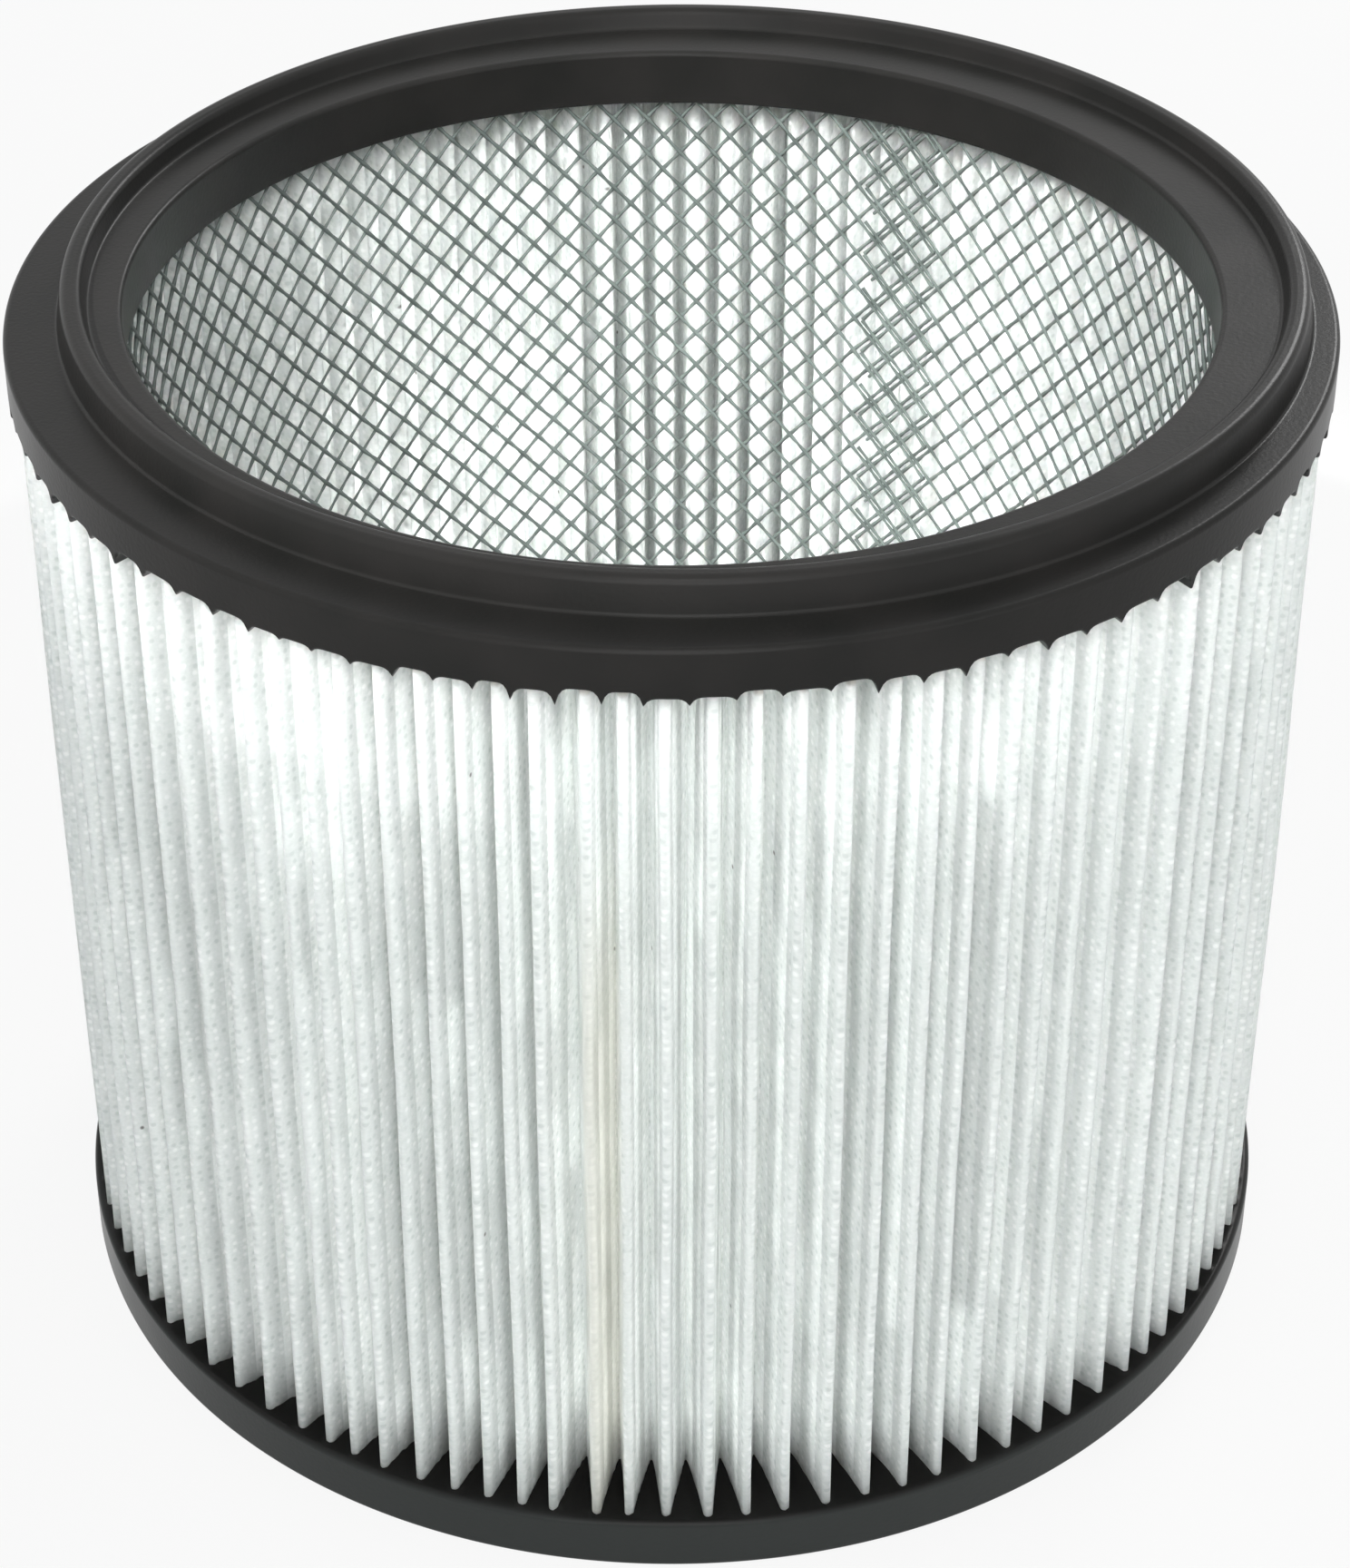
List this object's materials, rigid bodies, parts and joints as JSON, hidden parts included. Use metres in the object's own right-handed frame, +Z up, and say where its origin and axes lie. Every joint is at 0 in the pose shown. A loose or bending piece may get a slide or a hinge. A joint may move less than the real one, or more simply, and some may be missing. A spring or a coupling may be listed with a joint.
{
  "type": "vacuum cartridge filter",
  "caption": "Ring-shaped pleated filter cartridge with black moulded end caps, a sealing lip round its open top and a diamond mesh core that slides over a cleaner's cage.",
  "frame": {"origin": "centre of the bottom end cap's underside, on the axis of the opening", "axes": "+Z up along the axis of the opening, from the bottom cap to the sealing lip; -Y towards the picture's viewer"},
  "size_m": [0.2, 0.2, 0.1736],
  "materials": {
    "end_cap_black": "satin moulded black urethane",
    "filter_sheet_white": "white spunbond polyester sheet, folded",
    "mesh_grey": "dull grey expanded mesh"
  },
  "bodies": {
    "root": {"top_end_cap": "end_cap_black", "bottom_end_cap": "end_cap_black", "pleated_media": "filter_sheet_white", "inner_mesh": "mesh_grey"}
  },
  "joints": []
}
